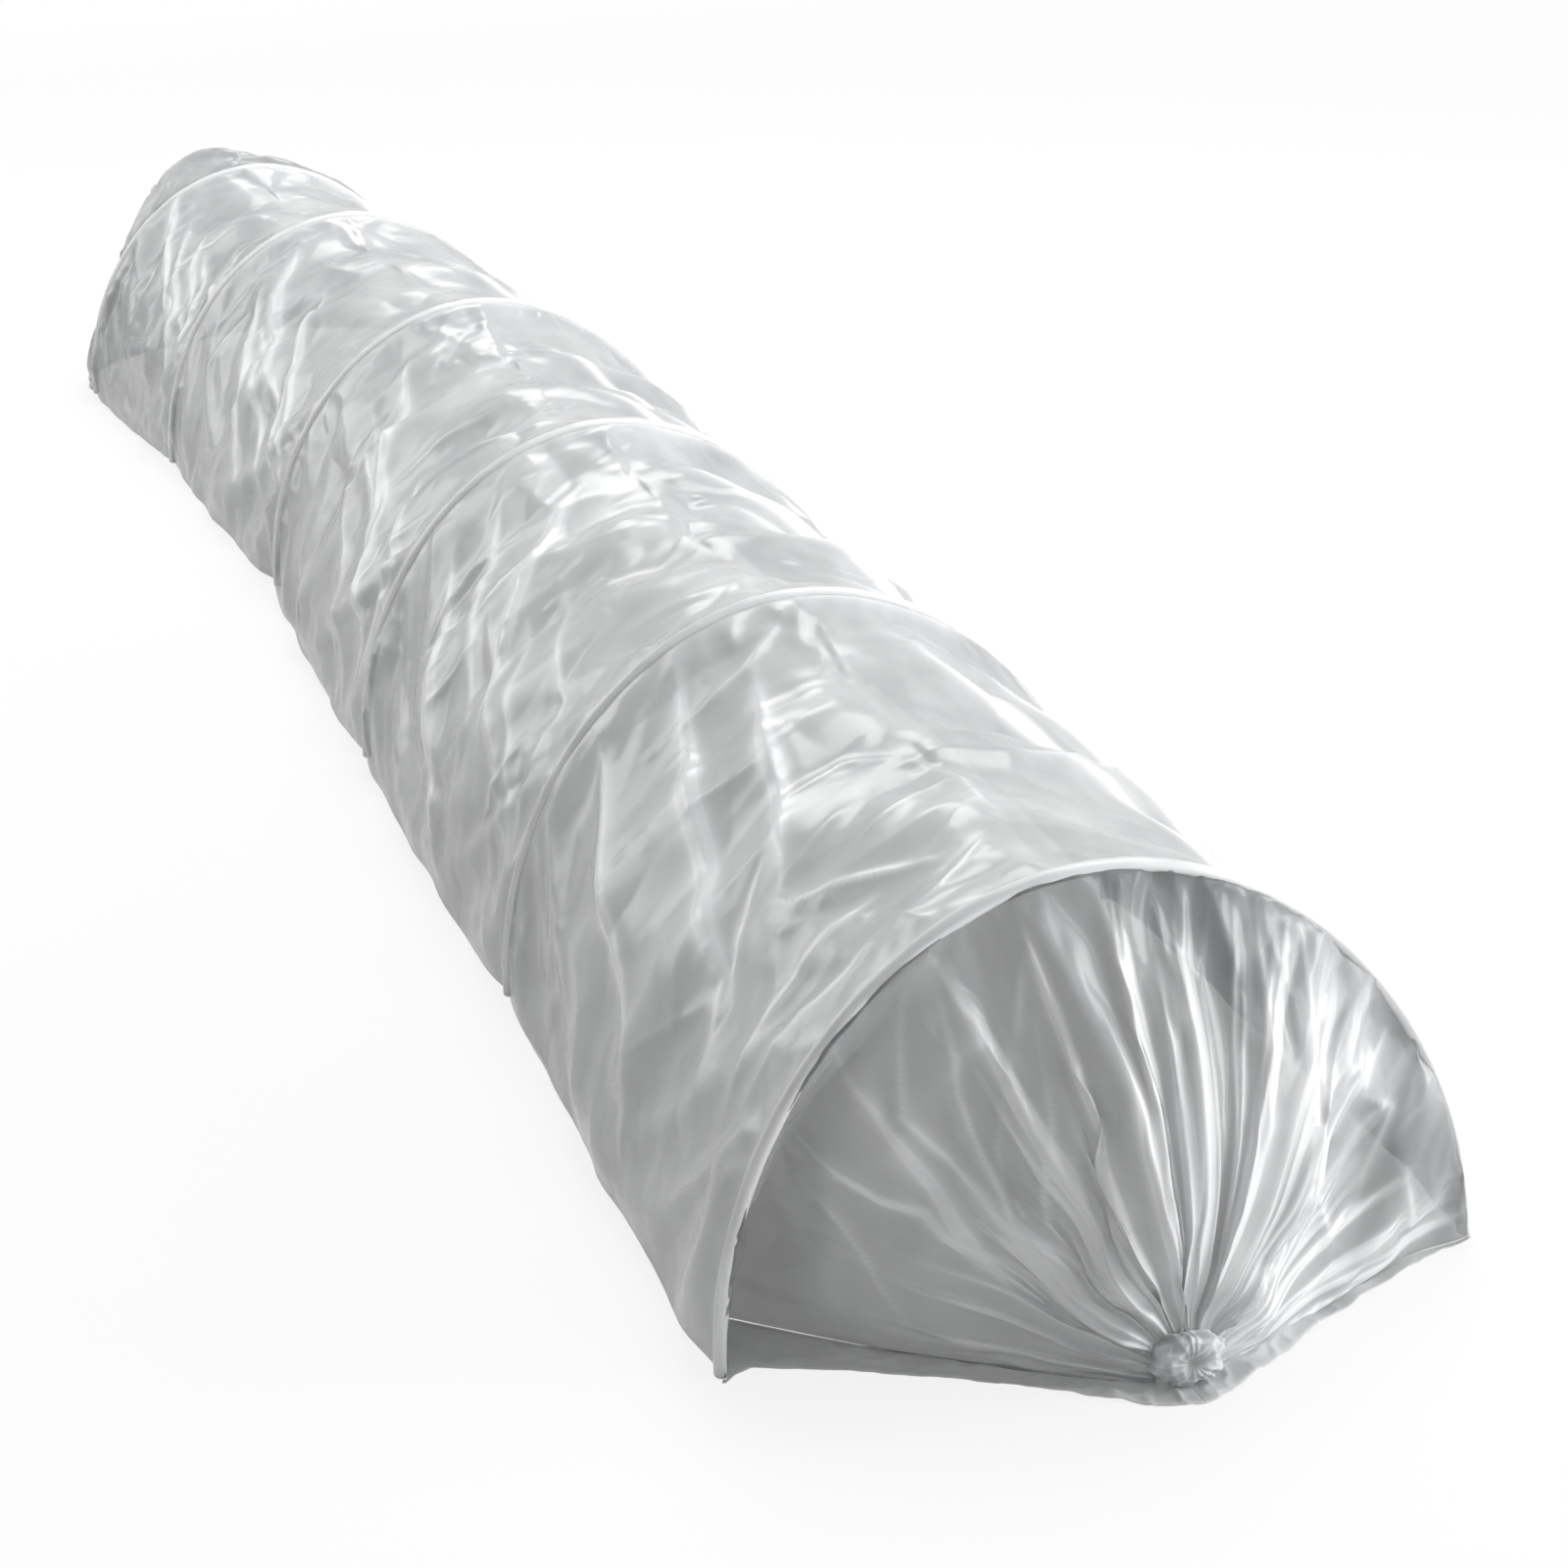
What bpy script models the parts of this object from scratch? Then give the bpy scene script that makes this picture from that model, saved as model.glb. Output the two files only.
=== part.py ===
"""Row cover tunnel: six wire hoops in the sleeves of one clear film cover, gathered shut at both ends.

Metres, +Z up. The origin is on the ground under the middle of the front hoop, and the
tunnel runs back along +Y. Each hoop stands in an empty on its slide axis, so that the
tunnel closes up hoop by hoop like a concertina.
"""

import math

import bmesh
import bpy

# Hoops
HOOP_WIDTH = 0.450  # between the two legs of a hoop, wire centre to wire centre
HOOP_HEIGHT = 0.265  # from the ground to the wire's centre at the crown
FULLNESS = 1.93  # shape of the arch: 2 is an ellipse, more is squarer
WIRE_DIAMETER = 0.004
LEG_DEPTH = 0.100  # how far each leg stands in the soil
ARCH_STEPS = 20

# The row of hoops, as it stands in the bed
HOOP_PITCH = 0.584  # from hoop to hoop in the bay that is drawn out the most
SHORT_OF_PITCH = (0.006, 0.019, 0.011, 0.0, 0.161)  # how much less each bay is drawn out
BAY_LENGTHS = tuple(HOOP_PITCH - less for less in SHORT_OF_PITCH)
SIDEWAYS = (0.0, 0.0, -0.007, -0.003, -0.043, -0.092)  # each hoop off the straight line

# Film
FILM = 0.0004
GAP = 0.0003  # between pieces that touch
GROUND_GAP = 0.0012  # from the ground to the lower edges of the walls
RIDGE_SAG = 0.014
HEM_BULGE = 0.013
FOLD_DEPTH = 0.008
FOLDS_PER_METRE = 5.2
FOLD_LEAN = 0.35  # how far a fold leans along the bay on its way up, in folds
BAY_STEPS = 12

# Sleeves that hold the wire
SLEEVE_WIDTH = 0.010
SLEEVE_EASE = 0.0003  # what the flat sides of the sleeve need over a round bore
SLEEVE_BORE = WIRE_DIAMETER + 2 * GAP + SLEEVE_EASE
SLEEVE_SIDES = 8

# Gathered ends: the neck is where the pleats meet
NECK_WIDTH = 0.034
NECK_HEIGHT = 0.028
PLEATS = 9
PLEAT_DEPTH = 0.006
END_AROUND = 36
END_STEPS = 8
END_CROWDING = 1.6  # over 1 puts more of the steps beside the hoop
SLACK_START = 0.03  # where the slack sides begin to fall in, as a share of the way to the neck
SLACK_RUN = 0.12
SLACK_FADE = 1.5  # over 1 brings the slack sides out again sooner on the way to the neck
HOOD_HOLD = 3.5  # over 1 keeps a hooded end full behind its hoop, before it drops to the neck
HOOD_PUFF = 0.034  # how far a hood stands out over one shoulder
PUFF_AT = 0.62  # its middle, round the arch
PUFF_SPREAD = 0.12

# Front end
FRONT_DEPTH = 0.098
FRONT_NECK_X = 0.010
FRONT_BULGE = 0.012
FRONT_SLACK = (0.088, 0.026)  # how far the low left and low right sides fall inwards
FRONT_HOOD = 0.0
# How far the hem of the film on the ground lies outside the straight line from hoop to neck:
# by the hoop and by the neck, first for the left side and then for the right
FRONT_HEM = ((-0.014, 0.024), (0.0, 0.019))

# Rear end
REAR_DEPTH = 0.300
REAR_NECK_X = -0.020
REAR_BULGE = 0.0
REAR_SLACK = (0.020, 0.020)
REAR_HOOD = 1.0
REAR_HEM = ((0.022, 0.022), (0.022, 0.022))

# Loose film on the ground beside each neck
UNDERLAP = 0.004  # under the foot of the end wall
APRON_FROM = 0.11  # share of the way from the hoop to the neck
APRON_TO = 0.90
APRON_RIPPLE = 0.0014
APRON_RIPPLES = 5
APRON_STEPS = 10

# Bunched film at each neck
GATHER_DEPTH = 0.022
GATHER_LOBES = 11
GATHER_RIPPLE = 0.16
GATHER_WIDER = 1.12  # than the neck
GATHER_HIGHER = 1.05
GATHER_BACK = 0.35  # where the ball is cut flat, as a share of its radius
MOUTH_DEPTH = 0.45
MOUTH_RADIUS = 0.40

HOOP_COUNT = len(BAY_LENGTHS) + 1
HOOP_Y = [sum(BAY_LENGTHS[:i]) for i in range(HOOP_COUNT)]
SLEEVE_EDGE = SLEEVE_WIDTH / 2 + GAP  # where the film beside a hoop begins
WELD = 0.00001  # points nearer than this are one point


def clear_scene():
    for obj in list(bpy.data.objects):
        bpy.data.objects.remove(obj, do_unlink=True)


def new_collection(name):
    collection = bpy.data.collections.new(name)
    bpy.context.scene.collection.children.link(collection)
    return collection


def new_material(name, colour, roughness, metallic=0.0, alpha=1.0):
    material = bpy.data.materials.new(name)
    material.use_nodes = True
    shader = material.node_tree.nodes["Principled BSDF"]
    shader.inputs["Base Color"].default_value = (*colour, 1.0)
    shader.inputs["Roughness"].default_value = roughness
    shader.inputs["Metallic"].default_value = metallic
    shader.inputs["Alpha"].default_value = alpha
    return material


def place(name, mesh, collection, parent, material):
    """New object with this mesh and material, in the collection and under its hoop's empty."""
    obj = bpy.data.objects.new(name, mesh)
    collection.objects.link(obj)
    obj.parent = parent
    if not mesh.materials:
        mesh.materials.append(material)
    return obj


def smooth(mesh):
    mesh.shade_smooth()
    mesh.set_sharp_from_angle(angle=math.radians(50))


def arch(u, width=HOOP_WIDTH, height=HOOP_HEIGHT):
    """Point (x, z) of an arch, from its left foot at u = 0 over the crown to its right foot at u = 1."""
    across = -math.cos(math.pi * u)
    up = max(math.sin(math.pi * u), 0.0)
    x = math.copysign(abs(across) ** (2 / FULLNESS), across) * width / 2
    z = up ** (2 / FULLNESS) * (height - GROUND_GAP) + GROUND_GAP
    return x, z


def outward(u):
    """Unit normal (x, z) of the hoop's arch, pointing away from the bed."""
    x, z = arch(u)
    nx = x / (HOOP_WIDTH / 2) ** 2
    nz = (z - GROUND_GAP) / HOOP_HEIGHT**2
    length = math.hypot(nx, nz)
    return nx / length, nz / length


def lowness(u):
    """1 at either foot of the arch, 0 at the crown."""
    return abs(math.cos(math.pi * u))


def poly_curve(name, points, cyclic=False, dimensions="3D"):
    curve = bpy.data.curves.new(name, "CURVE")
    curve.dimensions = dimensions
    spline = curve.splines.new("POLY")
    spline.points.add(len(points) - 1)
    for point, place_at in zip(spline.points, points):
        point.co = (*place_at, 1.0)
    spline.use_cyclic_u = cyclic
    return curve


def arch_points():
    return [(x, 0.0, z) for x, z in (arch(i / ARCH_STEPS) for i in range(ARCH_STEPS + 1))]


def tidy_mesh(body, name):
    """Mesh from a bmesh, with its doubled points merged and its faces turned outwards."""
    bmesh.ops.remove_doubles(body, verts=body.verts, dist=WELD)
    bmesh.ops.recalc_face_normals(body, faces=body.faces)
    mesh = bpy.data.meshes.new(name)
    body.to_mesh(mesh)
    body.free()
    smooth(mesh)
    return mesh


def swept_mesh(curve):
    """Mesh of a curve with its bevel."""
    helper = bpy.data.objects.new(curve.name, curve)
    bpy.context.scene.collection.objects.link(helper)
    bpy.context.view_layer.update()
    body = bmesh.new()
    evaluated = helper.evaluated_get(bpy.context.evaluated_depsgraph_get())
    body.from_mesh(evaluated.to_mesh())
    evaluated.to_mesh_clear()
    bpy.data.objects.remove(helper)
    return tidy_mesh(body, curve.name)


def hoop_mesh():
    """Round wire: the arch, and a straight leg below ground on each side."""
    left_tip = (-HOOP_WIDTH / 2, 0.0, -LEG_DEPTH)
    right_tip = (HOOP_WIDTH / 2, 0.0, -LEG_DEPTH)
    curve = poly_curve("hoop_wire", [left_tip, *arch_points(), right_tip])
    curve.bevel_depth = WIRE_DIAMETER / 2
    curve.bevel_resolution = 2
    curve.use_fill_caps = True
    return swept_mesh(curve)


def sleeve_mesh(guides):
    """Channel of film round the wire: a flattened tube, open at both feet."""
    outline = []
    for i in range(SLEEVE_SIDES):
        angle = 2 * math.pi * i / SLEEVE_SIDES
        along = SLEEVE_WIDTH / 2 * math.cos(angle)
        across = (SLEEVE_BORE / 2 + FILM) * math.sin(angle)
        outline.append((along, across, 0.0))
    section = bpy.data.objects.new("sleeve_section", poly_curve("sleeve_section", outline, True, "2D"))
    section.data.fill_mode = "NONE"
    section.hide_render = True
    section.display_type = "WIRE"
    guides.objects.link(section)
    curve = poly_curve("hoop_sleeve", arch_points())
    curve.bevel_mode = "OBJECT"
    curve.bevel_object = section
    return swept_mesh(curve)


def film_sheet(name, across, along, shape):
    """Grid of across by along faces on the surface shape(u, t), where u and t run from 0 to 1."""
    body = bmesh.new()
    bmesh.ops.create_grid(body, x_segments=across, y_segments=along, size=0.5)
    for vertex in body.verts:
        vertex.co = shape(vertex.co.x + 0.5, vertex.co.y + 0.5)
    mesh = bpy.data.meshes.new(name)
    body.to_mesh(mesh)
    body.free()
    smooth(mesh)
    return mesh


def thicken(obj, offset=0.0):
    solid = obj.modifiers.new("film thickness", "SOLIDIFY")
    solid.thickness = FILM
    solid.offset = offset
    solid.use_even_offset = False


def bay_shape(bay):
    """Surface of one bay of the cover, from the hoop in front of it, with its sag and main folds."""
    length = BAY_LENGTHS[bay]
    shift = SIDEWAYS[bay + 1] - SIDEWAYS[bay]
    folds = round(FOLDS_PER_METRE * length)
    phase = 1.7 * bay

    def shape(u, t):
        x, z = arch(u)
        nx, nz = outward(u)
        low = lowness(u)
        middle = 4 * t * (1 - t)
        lean = FOLD_LEAN * (1 - low) * (1 if u < 0.5 else -1)
        # long folds, and shorter ones across them that keep two folds from being alike
        wave = math.sin(2 * math.pi * (folds * t + lean) + phase)
        wave += 0.5 * math.sin(2 * math.pi * ((folds + 2) * t - 1.3 * lean) + 2.3 * phase + 4 * u)
        # deepest half way up a side, shallow at the crown and at the hem
        out = FOLD_DEPTH * wave * (0.3 + 2.8 * low * (1 - low)) * middle**0.5
        out += HEM_BULGE * middle * low**6
        out -= RIDGE_SAG * middle * (1 - low) ** 0.7
        top = max(z - GROUND_GAP, 0.0) / HOOP_HEIGHT
        rise = out * nz * min(1.0, 6 * top)
        return x + shift * t + out * nx, SLEEVE_EDGE + (length - 2 * SLEEVE_EDGE) * t, z + rise

    return shape


def end_shape(depth, neck_x, bulge, slack, hood):
    """Surface of a gathered end that points along -Y: pleats from the hoop to the neck by the ground."""

    def shape(u, t):
        x, z = arch(u)
        nx, nz = outward(u)
        neck_side, neck_z = arch(u, NECK_WIDTH, NECK_HEIGHT)
        low = lowness(u)
        drawn = (1 - hood) * t + hood * t**HOOD_HOLD
        px = x * (1 - drawn) + (neck_x + neck_side) * drawn
        pz = z * (1 - drawn) + neck_z * drawn
        py = -SLEEVE_EDGE - (depth - SLEEVE_EDGE) * t
        side = slack[0] if u < 0.5 else slack[1]
        back = min(max((t - SLACK_START) / SLACK_RUN, 0.0), 1.0)
        py += side * low**3 * back**2 * (3 - 2 * back) * max(1 - t, 0.0) ** SLACK_FADE
        py -= bulge * math.sin(math.pi * t) * (1 - low) ** 0.5
        puff = hood * HOOD_PUFF * math.sin(math.pi * t) * math.exp(-(((u - PUFF_AT) / PUFF_SPREAD) ** 2))
        px += puff * nx
        pz += puff * nz
        # the pleats fade out at both feet and into the neck, and a hood has none beside its hoop
        pleat = PLEAT_DEPTH * math.sin(2 * math.pi * PLEATS * u + 0.8)
        pleat *= math.sin(math.pi * min(t, 0.94)) ** 0.6
        pleat *= min(1.0, 5 * min(u, 1 - u)) * (1 - t**6) * (1 - hood + hood * t**2)
        py -= pleat * (1 - 0.6 * hood)
        px += pleat * nx * (0.3 + 0.7 * hood)
        pz += pleat * nz * (0.3 + 0.7 * hood) * min(1.0, 20 * (pz - GROUND_GAP))
        return px, py, max(pz, GROUND_GAP)

    return shape


def apron_shape(wall, straight, right, hem):
    """Film on the ground, from under the foot of the end wall out to its hem."""
    foot = 1.0 if right else 0.0
    turn = -1.0 if right else 1.0
    middle = FILM / 2 + GAP / 3
    step = 0.02

    def shape(u, t):
        s = APRON_FROM + (APRON_TO - APRON_FROM) * (1 - u if right else u)
        x0, y0, _ = wall(foot, s)
        x1, y1, _ = straight(foot, s)
        x2, y2, _ = straight(foot, s + step)
        run = math.hypot(x2 - x1, y2 - y1)
        out_x = turn * (y2 - y1) / run
        out_y = -turn * (x2 - x1) / run
        reach = hem[0] + (hem[1] - hem[0]) * s**2
        x = (x1 + out_x * reach) * (1 - t) + (x0 - out_x * UNDERLAP) * t
        y = (y1 + out_y * reach) * (1 - t) + (y0 - out_y * UNDERLAP) * t
        ripple = APRON_RIPPLE * (1 - math.cos(2 * math.pi * APRON_RIPPLES * s)) * (1 - t) ** 2
        return x, y, middle + ripple

    return shape


def gather_mesh(name):
    """Rosette of bunched film: a squashed ball, flat behind, with ripples round its drawn-in mouth."""
    body = bmesh.new()
    bmesh.ops.create_uvsphere(body, u_segments=3 * GATHER_LOBES, v_segments=7, radius=1.0)
    for vertex in body.verts:
        x, y, front = vertex.co
        radius = math.hypot(x, y)
        ripple = 1 + GATHER_RIPPLE * radius**2 * math.sin(GATHER_LOBES * math.atan2(y, x))
        mouth = MOUTH_DEPTH * math.exp(-((radius / MOUTH_RADIUS) ** 2)) if front > 0 else 0.0
        reach = (max(front, -GATHER_BACK) - mouth + GATHER_BACK) / (1 + GATHER_BACK)
        wide = NECK_WIDTH / 2 * GATHER_WIDER * ripple * x
        high = NECK_HEIGHT / 2 * GATHER_HIGHER * ripple * y
        vertex.co = (wide, -GATHER_DEPTH * reach, high)
    lowest = min(vertex.co.z for vertex in body.verts)
    for vertex in body.verts:
        vertex.co.z += GROUND_GAP - lowest
    return tidy_mesh(body, name)


def add_end(name, parent, collection, films, end, turned):
    """One gathered end: the pleated wall, the rosette at its neck and the film on the ground beside it."""
    depth, neck_x, bulge, slack, hood, hem = end
    wall = end_shape(depth, neck_x, bulge, slack, hood)
    straight = end_shape(depth, neck_x, bulge, (0.0, 0.0), hood)

    def crowded_wall(u, t):
        return wall(u, t**END_CROWDING)

    clear, bunched = films
    sheet = film_sheet(name + "_end_film", END_AROUND, END_STEPS, crowded_wall)
    pieces = [place(name + "_end_film", sheet, collection, parent, clear)]
    for side, right in (("left", False), ("right", True)):
        piece_name = f"{name}_apron_{side}"
        mesh = film_sheet(piece_name, APRON_STEPS, 2, apron_shape(wall, straight, right, hem[right]))
        pieces.append(place(piece_name, mesh, collection, parent, clear))
    for piece in pieces:
        thicken(piece)
    gather = place(name + "_gather", gather_mesh(name + "_gather"), collection, parent, bunched)
    gather.location = (neck_x, -depth - GAP, 0.0)
    if turned:
        gather.location = (-neck_x, depth + GAP, 0.0)
        for piece in [*pieces, gather]:
            piece.rotation_euler.z = math.pi


def build():
    clear_scene()
    tunnel = new_collection("row_cover_tunnel")
    guides = new_collection("guides")
    wire = new_material("galvanised_wire", (0.55, 0.56, 0.57), 0.38, 1.0)
    sleeve_film = new_material("sleeve_film", (0.86, 0.87, 0.88), 0.30, 0.0, 0.75)
    clear_film = new_material("clear_film", (0.80, 0.81, 0.82), 0.22, 0.0, 0.55)
    bunched_film = new_material("bunched_film", (0.74, 0.75, 0.76), 0.30, 0.0, 0.90)
    films = (clear_film, bunched_film)

    hoop = hoop_mesh()
    sleeve = sleeve_mesh(guides)
    stands = []
    for i in range(HOOP_COUNT):
        stand = bpy.data.objects.new(f"hoop_stand_{i + 1}", None)
        tunnel.objects.link(stand)
        stand.empty_display_size = 0.05
        if stands:
            stand.parent = stands[-1]
            stand.location = (SIDEWAYS[i] - SIDEWAYS[i - 1], BAY_LENGTHS[i - 1], 0.0)
        stands.append(stand)
        place(f"hoop_{i + 1}", hoop, tunnel, stand, wire)
        thicken(place(f"hoop_sleeve_{i + 1}", sleeve, tunnel, stand, sleeve_film), -1.0)
    for i in range(len(BAY_LENGTHS)):
        name = f"bay_film_{i + 1}"
        bay = film_sheet(name, ARCH_STEPS, BAY_STEPS, bay_shape(i))
        thicken(place(name, bay, tunnel, stands[i], clear_film))

    front = (FRONT_DEPTH, FRONT_NECK_X, FRONT_BULGE, FRONT_SLACK, FRONT_HOOD, FRONT_HEM)
    rear = (REAR_DEPTH, REAR_NECK_X, REAR_BULGE, REAR_SLACK, REAR_HOOD, REAR_HEM)
    add_end("front", stands[0], tunnel, films, front, False)
    add_end("rear", stands[-1], tunnel, films, rear, True)


build()
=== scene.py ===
import bisect
import math

import bpy
import numpy as np
from mathutils import Matrix, Vector, noise


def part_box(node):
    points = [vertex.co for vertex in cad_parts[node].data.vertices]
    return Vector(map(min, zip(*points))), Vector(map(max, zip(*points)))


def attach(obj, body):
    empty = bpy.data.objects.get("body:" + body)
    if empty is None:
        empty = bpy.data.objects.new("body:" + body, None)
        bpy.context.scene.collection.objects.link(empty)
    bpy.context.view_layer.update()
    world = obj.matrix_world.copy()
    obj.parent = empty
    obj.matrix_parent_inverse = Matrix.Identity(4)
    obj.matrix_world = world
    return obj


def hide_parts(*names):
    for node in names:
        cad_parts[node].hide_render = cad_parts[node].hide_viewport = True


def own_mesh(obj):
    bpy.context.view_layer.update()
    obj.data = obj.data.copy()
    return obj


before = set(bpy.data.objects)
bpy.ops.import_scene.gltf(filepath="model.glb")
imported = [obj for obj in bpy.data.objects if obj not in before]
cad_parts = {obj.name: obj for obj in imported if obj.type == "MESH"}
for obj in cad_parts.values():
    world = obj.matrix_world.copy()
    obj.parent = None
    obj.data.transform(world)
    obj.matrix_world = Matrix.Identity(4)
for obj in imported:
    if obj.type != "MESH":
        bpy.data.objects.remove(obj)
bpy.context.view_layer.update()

# Camera: in front of the tunnel and to its left, at about hip height, looking down along it.
# Its place, lens and tilt are those at which all six hoops fall where the photograph has them.
CAMERA_PLACE = Vector((-0.60065, -1.62482, 0.93607))
CAMERA_TURN = math.radians(14.889)
CAMERA_DOWN = math.radians(19.552)
CAMERA_ROLL = math.radians(-3.438)
CAMERA_LENS = 78.33
CAMERA_SENSOR = 36
NEAREST_SEEN = 0.05
bpy.ops.object.camera_add(location=CAMERA_PLACE)
camera = bpy.context.object
camera.name = "photo_camera"
camera.data.lens = CAMERA_LENS
camera.data.sensor_width = CAMERA_SENSOR
camera.data.clip_start = NEAREST_SEEN
aim = Matrix.Rotation(-CAMERA_TURN, 4, "Z") @ Matrix.Rotation(math.pi / 2 - CAMERA_DOWN, 4, "X")
camera.matrix_world = Matrix.Translation(CAMERA_PLACE) @ aim @ Matrix.Rotation(CAMERA_ROLL, 4, "Z")
bpy.context.scene.camera = camera

# Wire hoops: round galvanised steel wire, bent to an arch with a straight leg on each side.
# The legs are pushed into the soil, so only the arch stands above the floor, inside its sleeve.
HOOPS = range(1, 7)
GROUND_GAP = 0.0012
# power of the arch's curve: 2 would be half an ellipse, and less is leaner at the shoulders
FULLNESS = 1.93
ARCH_FINE = 120
TIP = 0.0025
TIP_SHARE = 0.45
MERGE_WITHIN = 0.00002
SMOOTH_BELOW = math.radians(60)
wire_low, wire_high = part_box("hoop_1")
WIRE = wire_high.y - wire_low.y
HOOP_WIDTH = wire_high.x - wire_low.x - WIRE
HOOP_HEIGHT = wire_high.z - WIRE / 2
hoop_place = {}
for k in HOOPS:
    hoop_low, hoop_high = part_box(f"hoop_{k}")
    hoop_place[k] = Vector(((hoop_low.x + hoop_high.x) / 2, (hoop_low.y + hoop_high.y) / 2, 0))
hoop_body = dict(zip(HOOPS, ["front_frame", "frame_2", "frame_3", "frame_4", "frame_5", "rear_frame"]))


def arch(u, width=HOOP_WIDTH, height=HOOP_HEIGHT):
    """Point (x, z) of an arch, from its left foot at 0 over the crown to its right foot at 1."""
    across = -math.cos(math.pi * u)
    up = max(math.sin(math.pi * u), 0.0)
    x = math.copysign(abs(across) ** (2 / FULLNESS), across) * width / 2
    return x, up ** (2 / FULLNESS) * (height - GROUND_GAP) + GROUND_GAP


def outward(u):
    """Unit normal (x, z) of the arch, pointing away from the bed."""
    x, z = arch(u)
    nx = x / (HOOP_WIDTH / 2) ** 2
    nz = (z - GROUND_GAP) / HOOP_HEIGHT**2
    length = math.hypot(nx, nz)
    return nx / length, nz / length


# length of the arch up to each of so many even steps of u
RULER = 2000
ruler_run = [0.0]
for i in range(RULER):
    ruler_run.append(ruler_run[-1] + math.dist(arch(i / RULER), arch((i + 1) / RULER)))
ARCH_LENGTH = ruler_run[-1]


def even(share):
    """Place on the arch at this share of its length, so that steps along it are all as long."""
    want = share * ARCH_LENGTH
    i = min(max(bisect.bisect_left(ruler_run, want), 1), RULER)
    part = (want - ruler_run[i - 1]) / (ruler_run[i] - ruler_run[i - 1])
    return (i - 1 + part) / RULER


def new_material(name, colour, roughness, metallic=0.0):
    """Material of one colour, to which patterns are added."""
    material = bpy.data.materials.new(name)
    material.use_nodes = True
    shader = material.node_tree.nodes["Principled BSDF"]
    shader.inputs["Base Color"].default_value = (*colour, 1.0)
    shader.inputs["Roughness"].default_value = roughness
    shader.inputs["Metallic"].default_value = metallic
    return material


def cloudy(material, scale, detail, stretch=(1, 1, 1)):
    """Cloud pattern on the piece's own coordinates, from 0 to 1."""
    nodes = material.node_tree.nodes
    place = nodes.new("ShaderNodeTexCoord")
    mapping = nodes.new("ShaderNodeMapping")
    mapping.inputs["Scale"].default_value = stretch
    cloud = nodes.new("ShaderNodeTexNoise")
    cloud.inputs["Scale"].default_value = scale
    cloud.inputs["Detail"].default_value = detail
    material.node_tree.links.new(place.outputs["Object"], mapping.inputs["Vector"])
    material.node_tree.links.new(mapping.outputs["Vector"], cloud.inputs["Vector"])
    return cloud.outputs["Fac"]


def between(material, source, low, high, socket, start=0.3, end=0.7):
    """Takes a socket of the shader from one value or colour to another as a pattern rises."""
    nodes = material.node_tree.nodes
    ramp = nodes.new("ShaderNodeValToRGB")
    ramp.color_ramp.elements[0].position = start
    ramp.color_ramp.elements[1].position = end
    ramp.color_ramp.elements[0].color = (*low, 1) if isinstance(low, tuple) else (low, low, low, 1)
    ramp.color_ramp.elements[1].color = (*high, 1) if isinstance(high, tuple) else (high, high, high, 1)
    material.node_tree.links.new(source, ramp.inputs["Fac"])
    material.node_tree.links.new(ramp.outputs["Color"], nodes["Principled BSDF"].inputs[socket])


zinc = new_material("galvanised_wire", (0.55, 0.56, 0.57), 0.38, metallic=1.0)
spangle = cloudy(zinc, scale=260, detail=2)
between(zinc, spangle, (0.46, 0.47, 0.48), (0.62, 0.63, 0.64), "Base Color")
between(zinc, spangle, 0.46, 0.30, "Roughness")


def curve_piece(name, route):
    """New curve object along a route, ready for its bevel."""
    bpy.ops.object.select_all(action="DESELECT")
    bpy.ops.curve.primitive_nurbs_path_add()
    piece = bpy.context.object
    piece.name = name
    piece.data.splines.clear()
    spline = piece.data.splines.new("POLY")
    spline.points.add(len(route) - 1)
    for point, at in zip(spline.points, route):
        point.co = (*at, 1.0)
    return piece


def finish_mesh(piece, place):
    """Turns a piece into a smooth mesh that is in its place, with its object at the origin."""
    bpy.ops.object.select_all(action="DESELECT")
    piece.select_set(True)
    bpy.context.view_layer.objects.active = piece
    if piece.type != "MESH":
        bpy.ops.object.convert(target="MESH")
    bpy.ops.object.mode_set(mode="EDIT")
    bpy.ops.mesh.select_all(action="SELECT")
    bpy.ops.mesh.remove_doubles(threshold=MERGE_WITHIN)
    bpy.ops.mesh.normals_make_consistent(inside=False)
    bpy.ops.object.mode_set(mode="OBJECT")
    piece = bpy.context.object
    piece.data.transform(Matrix.Translation(place) @ piece.matrix_world)
    piece.matrix_world = Matrix.Identity(4)
    bpy.ops.object.shade_smooth_by_angle(angle=SMOOTH_BELOW)
    return piece


arch_route = []
for i in range(ARCH_FINE + 1):
    route_x, route_z = arch(even(i / ARCH_FINE))
    arch_route.append((route_x, 0.0, route_z))
left_leg = [(-HOOP_WIDTH / 2, 0.0, wire_low.z), (-HOOP_WIDTH / 2, 0.0, wire_low.z + TIP)]
right_leg = [(HOOP_WIDTH / 2, 0.0, wire_low.z + TIP), (HOOP_WIDTH / 2, 0.0, wire_low.z)]
for k in HOOPS:
    wire = curve_piece(f"wire_hoop_{k}", [*left_leg, *arch_route, *right_leg])
    # each leg ends in a blunt point
    wire.data.splines[0].points[0].radius = TIP_SHARE
    wire.data.splines[0].points[-1].radius = TIP_SHARE
    wire.data.bevel_depth = WIRE / 2
    wire.data.bevel_resolution = 3
    wire.data.use_fill_caps = True
    wire = finish_mesh(wire, hoop_place[k])
    wire.data.materials.append(zinc)
    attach(wire, hoop_body[k])
    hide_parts(f"hoop_{k}")

# Sleeves: a channel of the same film, doubled over each hoop and joined along both edges.
# It is milky where the film is doubled, slightly puckered, and open at both feet.
SLEEVE_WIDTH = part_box("hoop_sleeve_1")[1].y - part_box("hoop_sleeve_1")[0].y
SLEEVE_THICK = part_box("hoop_sleeve_1")[1].z - HOOP_HEIGHT
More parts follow.
